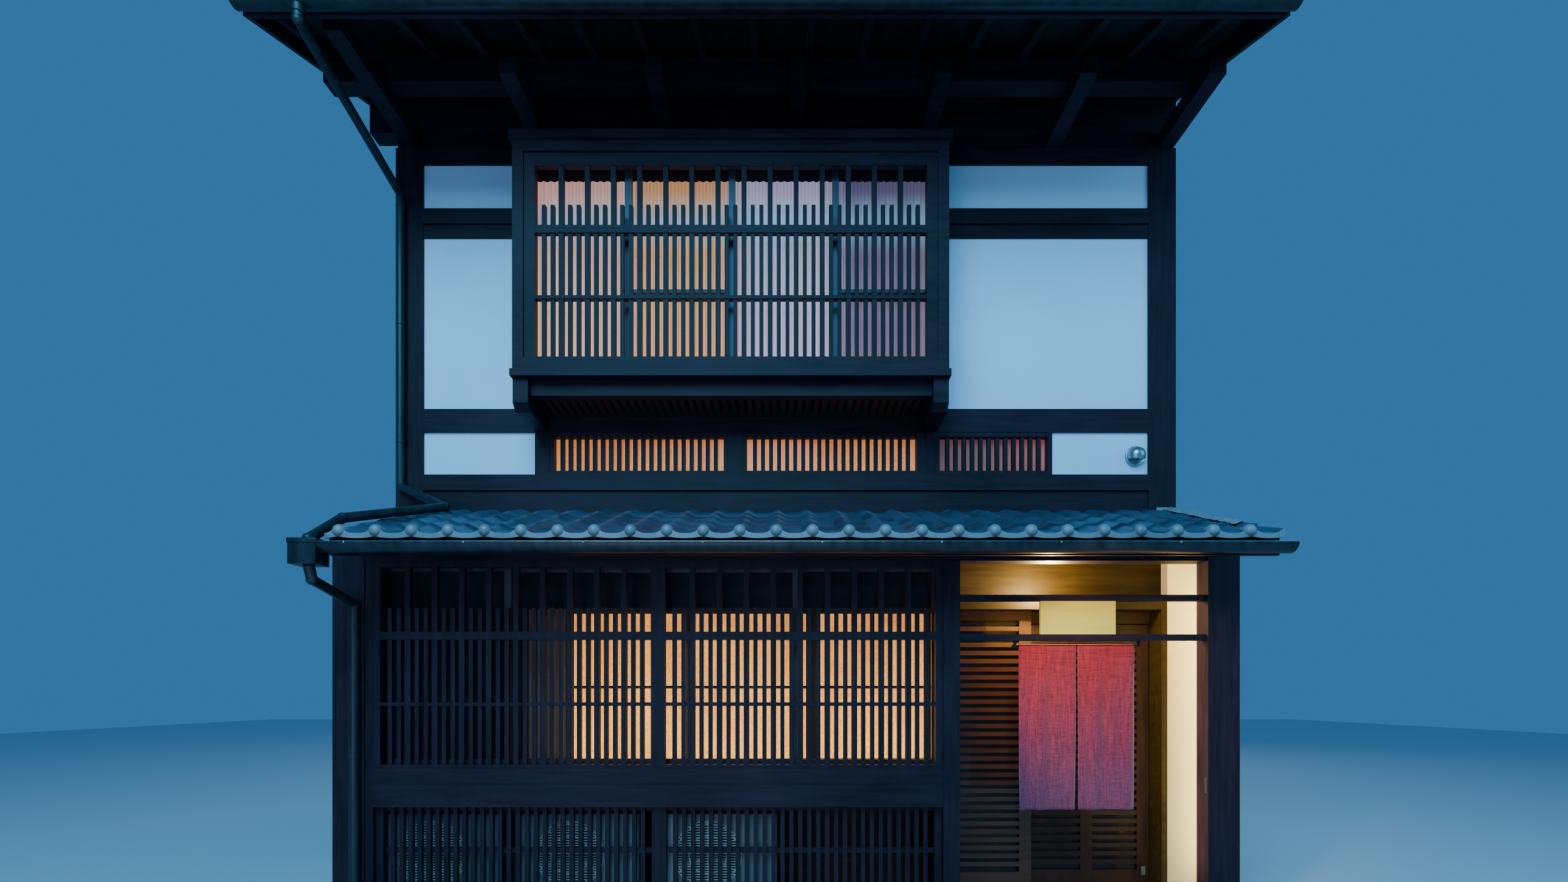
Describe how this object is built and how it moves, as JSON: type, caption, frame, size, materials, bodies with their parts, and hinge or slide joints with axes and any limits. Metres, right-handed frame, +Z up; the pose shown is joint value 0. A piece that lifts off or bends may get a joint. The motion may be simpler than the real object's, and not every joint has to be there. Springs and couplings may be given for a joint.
{
  "type": "machiya townhouse",
  "caption": "Two-storey timber town house with a lattice front, sliding entrance door, tiled pent roof, projecting lattice window bay and gabled tiled roof between plain party walls.",
  "frame": {"origin": "middle of the footprint of the whole part, at ground level", "axes": "+X along the street to the viewer's right, +Y from the street into the house, +Z up"},
  "size_m": [6.36, 8.926, 8.225],
  "materials": {
    "dark_timber": "weathered, stained near black",
    "brown_timber": "oiled boards and rafters",
    "white_plaster": "smooth lime plaster",
    "wall_render": "plain render on the party walls",
    "footing_stone": "dressed stone and concrete",
    "roof_tile": "smoked clay tile, satin",
    "glass": "clear window glass",
    "sash_metal": "anodised grey sash",
    "shoji": "translucent paper, lit from inside",
    "curtain": "thin curtain, lit from inside",
    "noren_cloth": "coarse hemp, dyed red fading to purple",
    "sign": "plain pale board",
    "rain_metal": "painted dark gutters and pipes",
    "unit_case": "painted steel case",
    "hood_metal": "stainless steel"
  },
  "bodies": {
    "house": {"base_stones": "footing_stone", "floor_bearers": "brown_timber", "ground_floor": "brown_timber", "upper_floor": "brown_timber", "left_party_wall": "wall_render", "right_party_wall": "wall_render", "rear_wall": "white_plaster", "rear_frames": "dark_timber", "niche_wall": "brown_timber", "entrance_side_wall": "dark_timber", "ground_posts": "dark_timber", "koshi_beam": "dark_timber", "front_beam": "dark_timber", "ground_lattice_left": "dark_timber", "ground_lattice_right": "dark_timber", "lower_lattice_left": "dark_timber", "lower_lattice_right": "dark_timber", "ground_sashes": "sash_metal", "ground_shoji": "shoji", "low_papers": "shoji", "outdoor_units": "unit_case", "entrance_frame": "brown_timber", "entrance_bars": "dark_timber", "fixed_slat_panel": "dark_timber", "sign_board": "sign", "noren_rod": "dark_timber", "noren": "noren_cloth", "upper_posts": "dark_timber", "upper_beams": "dark_timber", "plaster_panels": "white_plaster", "low_windows": "dark_timber", "bay_frame": "dark_timber", "bay_lattice": "dark_timber", "bay_sill": "dark_timber", "bay_soffit": "dark_timber", "bay_sashes": "sash_metal", "bay_curtain": "curtain", "window_glass": "glass", "pent_rafters": "brown_timber", "pent_deck": "brown_timber", "pent_tiles": "roof_tile", "eave_purlin": "dark_timber", "ridge_beam": "brown_timber", "front_rafters": "brown_timber", "rear_rafters": "brown_timber", "main_deck": "brown_timber", "main_tiles": "roof_tile", "roof_ridge": "roof_tile", "eave_boards": "dark_timber", "gutters": "rain_metal", "downpipes": "rain_metal", "vent_hood": "hood_metal"},
    "entrance_door": {"sliding_door": "dark_timber", "sliding_glass": "glass"}
  },
  "joints": [
    {"name": "entrance_door_slide", "type": "slide", "parent": "house", "child": "entrance_door", "axis": [-1, 0, 0], "range_m": [0, 0.6]}
  ]
}
